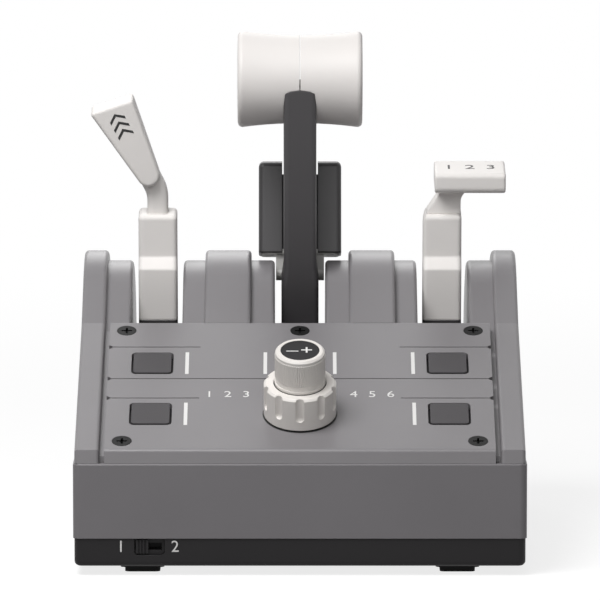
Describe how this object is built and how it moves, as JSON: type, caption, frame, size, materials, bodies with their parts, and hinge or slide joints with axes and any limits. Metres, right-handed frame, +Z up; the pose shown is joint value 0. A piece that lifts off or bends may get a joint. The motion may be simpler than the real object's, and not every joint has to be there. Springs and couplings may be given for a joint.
{
  "type": "throttle quadrant",
  "caption": "Desk throttle quadrant: speed brake, thrust and flap levers in a slotted case with a sloping control panel and a dual rotary knob.",
  "frame": {"origin": "on the desk, under the middle of the case's outline", "axes": "+Z up, +Y away from the pilot, +X to the pilot's right"},
  "size_m": [0.18, 0.204, 0.2062],
  "materials": {
    "black_plastic": "fine matt black moulding",
    "case_grey": "matt mid-grey moulding",
    "inner_plastic": "plain dark moulding",
    "screw_black": "black oxide screw",
    "rubber_black": "moulded rubber",
    "brass_insert": "turned brass",
    "plain_steel": "plain ground steel",
    "board_green": "circuit board",
    "washer_white": "low-friction plastic",
    "felt_brown": "felt-faced post",
    "magnet_steel": "plated magnet",
    "lever_white": "satin off-white moulding",
    "handle_ivory": "satin ivory moulding",
    "arm_dark": "matt charcoal moulding",
    "hub_dark": "matt charcoal moulding",
    "grip_dark": "smooth charcoal moulding",
    "fork_grey": "matt grey moulding",
    "knob_ivory": "satin warm-white moulding",
    "button_grey": "matt dark grey moulding"
  },
  "bodies": {
    "housing": {"right_cheek": "case_grey", "left_cheek": "case_grey", "right_crown": "case_grey", "left_crown": "case_grey", "control_panel": "case_grey", "panel_screws": "screw_black", "panel_beam": "inner_plastic", "slot_ends": "inner_plastic", "lower_shell": "case_grey", "base_tray": "black_plastic", "rubber_feet": "rubber_black", "thread_inserts": "brass_insert", "centre_insert": "brass_insert", "case_screws": "screw_black", "ballast_plate": "plain_steel", "main_board": "board_green", "usb_board": "board_green", "usb_socket": "plain_steel", "bearing_blocks": "inner_plastic", "lever_shaft": "plain_steel", "thrust_washers": "washer_white", "sensor_boards": "board_green", "friction_shoes": "felt_brown", "detent_post": "black_plastic", "detent_spring": "plain_steel", "button_board": "board_green", "tact_switches": "black_plastic", "encoder": "black_plastic", "slide_switch": "black_plastic"},
    "speed_brake": {"speed_brake_hub": "hub_dark", "speed_brake_arm": "lever_white", "speed_brake_handle": "lever_white", "speed_brake_magnet": "magnet_steel"},
    "thrust": {"thrust_arm": "arm_dark", "thrust_magnet": "magnet_steel", "reverser_pin": "plain_steel", "handle_bolt": "plain_steel", "thrust_handle_left": "handle_ivory", "thrust_handle_right": "handle_ivory", "handle_switches": "black_plastic"},
    "flaps": {"flap_hub": "hub_dark", "flap_arm": "lever_white", "flap_handle": "lever_white", "flap_magnet": "magnet_steel"},
    "reverser": {"reverser_fork": "fork_grey", "reverser_grip": "grip_dark"},
    "outer_selector": {"outer_shaft": "plain_steel", "outer_knob": "knob_ivory"},
    "push_spindle": {"push_shaft": "plain_steel"},
    "inner_selector": {"inner_knob": "knob_ivory", "knob_cap": "black_plastic"},
    "button_ul": {"button_upper_left": "button_grey"},
    "button_ur": {"button_upper_right": "button_grey"},
    "button_ll": {"button_lower_left": "button_grey"},
    "button_lr": {"button_lower_right": "button_grey"},
    "engine_switch": {"switch_slider": "black_plastic"},
    "handle_left_button": {"handle_button_left": "grip_dark"},
    "handle_right_button": {"handle_button_right": "grip_dark"}
  },
  "joints": [
    {"name": "speed_brake_pivot", "type": "hinge", "parent": "housing", "child": "speed_brake", "pos_m": [-0.0588, 0.0414, 0.0533], "axis": [1, 0, 0], "range_deg": [-34, 26]},
    {"name": "thrust_pivot", "type": "hinge", "parent": "housing", "child": "thrust", "pos_m": [0, 0.0414, 0.0533], "axis": [1, 0, 0], "range_deg": [-34, 28]},
    {"name": "flap_pivot", "type": "hinge", "parent": "housing", "child": "flaps", "pos_m": [0.0588, 0.0414, 0.0533], "axis": [1, 0, 0], "range_deg": [-34, 26]},
    {"name": "reverser_pivot", "type": "hinge", "parent": "thrust", "child": "reverser", "pos_m": [0, 0.04769, 0.10373], "axis": [1, 0, 0], "range_deg": [0, 25], "stiffness_Nm_per_rad": 0.02, "springref_deg": -45.84},
    {"name": "outer_selector_turn", "type": "hinge", "parent": "housing", "child": "outer_selector", "pos_m": [0, -0.07487, 0.06127], "axis": [0, -0.3875, 0.9219], "continuous": true},
    {"name": "selector_push", "type": "slide", "parent": "housing", "child": "push_spindle", "axis": [0, 0.3875, -0.9219], "range_m": [0, 0.0008], "stiffness_N_per_m": 600, "springref_m": -0.0004},
    {"name": "inner_selector_turn", "type": "hinge", "parent": "push_spindle", "child": "inner_selector", "pos_m": [0, -0.07487, 0.06127], "axis": [0, -0.3875, 0.9219], "continuous": true},
    {"name": "button_ul_press", "type": "slide", "parent": "housing", "child": "button_ul", "axis": [0, 0.3875, -0.9219], "range_m": [0, 0.001], "stiffness_N_per_m": 600, "springref_m": -0.0004},
    {"name": "button_ur_press", "type": "slide", "parent": "housing", "child": "button_ur", "axis": [0, 0.3875, -0.9219], "range_m": [0, 0.001], "stiffness_N_per_m": 600, "springref_m": -0.0004},
    {"name": "button_ll_press", "type": "slide", "parent": "housing", "child": "button_ll", "axis": [0, 0.3875, -0.9219], "range_m": [0, 0.001], "stiffness_N_per_m": 600, "springref_m": -0.0004},
    {"name": "button_lr_press", "type": "slide", "parent": "housing", "child": "button_lr", "axis": [0, 0.3875, -0.9219], "range_m": [0, 0.001], "stiffness_N_per_m": 600, "springref_m": -0.0004},
    {"name": "engine_switch_slide", "type": "slide", "parent": "housing", "child": "engine_switch", "axis": [1, 0, 0], "range_m": [0, 0.005]},
    {"name": "handle_left_press", "type": "slide", "parent": "thrust", "child": "handle_left_button", "axis": [1, 0, 0], "range_m": [0, 0.0012], "stiffness_N_per_m": 600, "springref_m": -0.0004},
    {"name": "handle_right_press", "type": "slide", "parent": "thrust", "child": "handle_right_button", "axis": [-1, 0, 0], "range_m": [0, 0.0012], "stiffness_N_per_m": 600, "springref_m": -0.0004}
  ]
}
